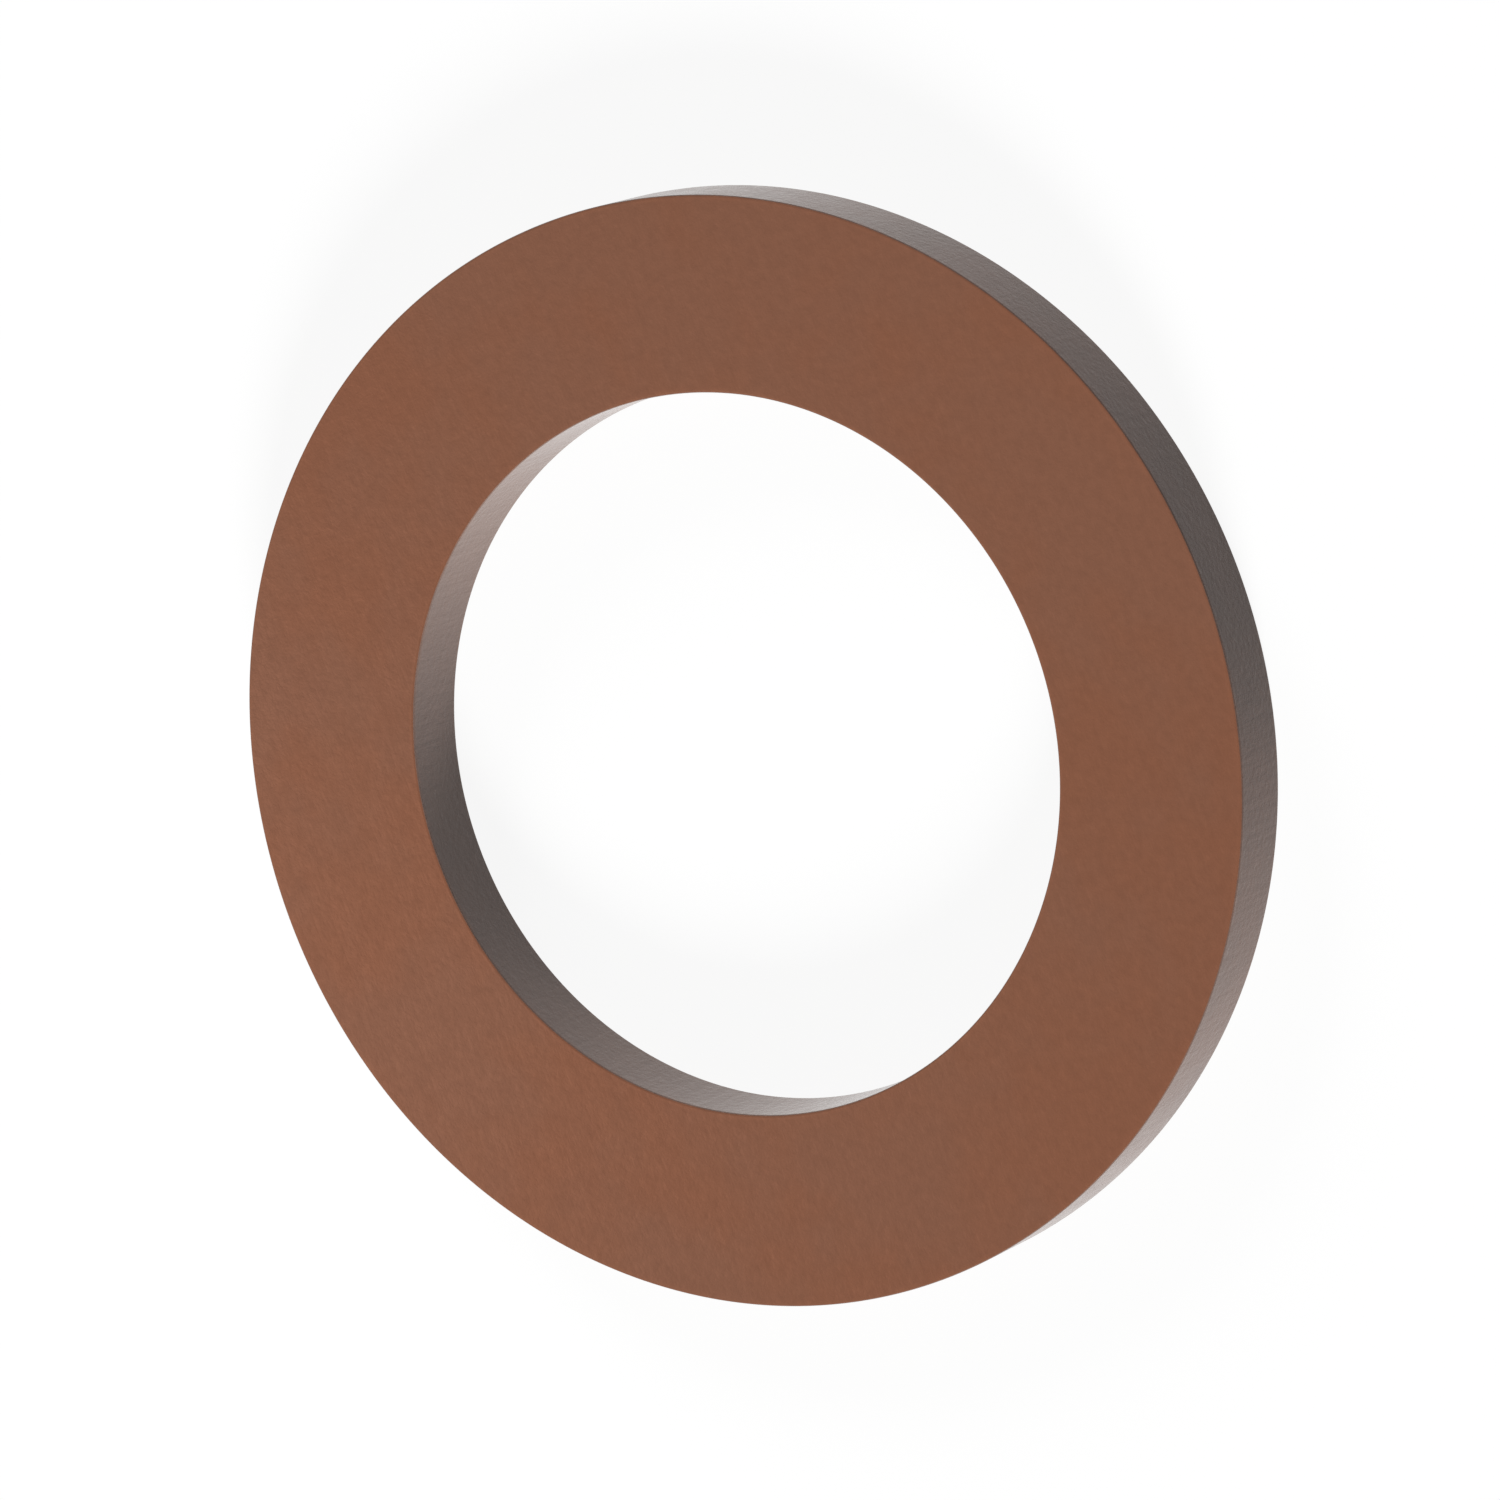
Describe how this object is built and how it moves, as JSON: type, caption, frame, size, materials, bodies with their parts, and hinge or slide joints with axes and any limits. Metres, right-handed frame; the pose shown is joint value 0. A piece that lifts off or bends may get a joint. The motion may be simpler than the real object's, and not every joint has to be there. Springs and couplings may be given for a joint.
{
  "type": "crush washer",
  "caption": "Flat round copper ring with a plain round hole, squeezed between a bolt head or plug and its seat to seal the joint.",
  "frame": {"origin": "centre of the lower sealing face, on the axis of the hole, so that the washer lies flat on Z = 0", "axes": "+Z along the axis of the hole, out of the upper sealing face; X and Y are any two directions in the plane of the ring"},
  "size_m": [0.02, 0.02, 0.0015],
  "materials": {
    "copper": "matte"
  },
  "bodies": {
    "root": {"washer": "copper"}
  },
  "joints": []
}
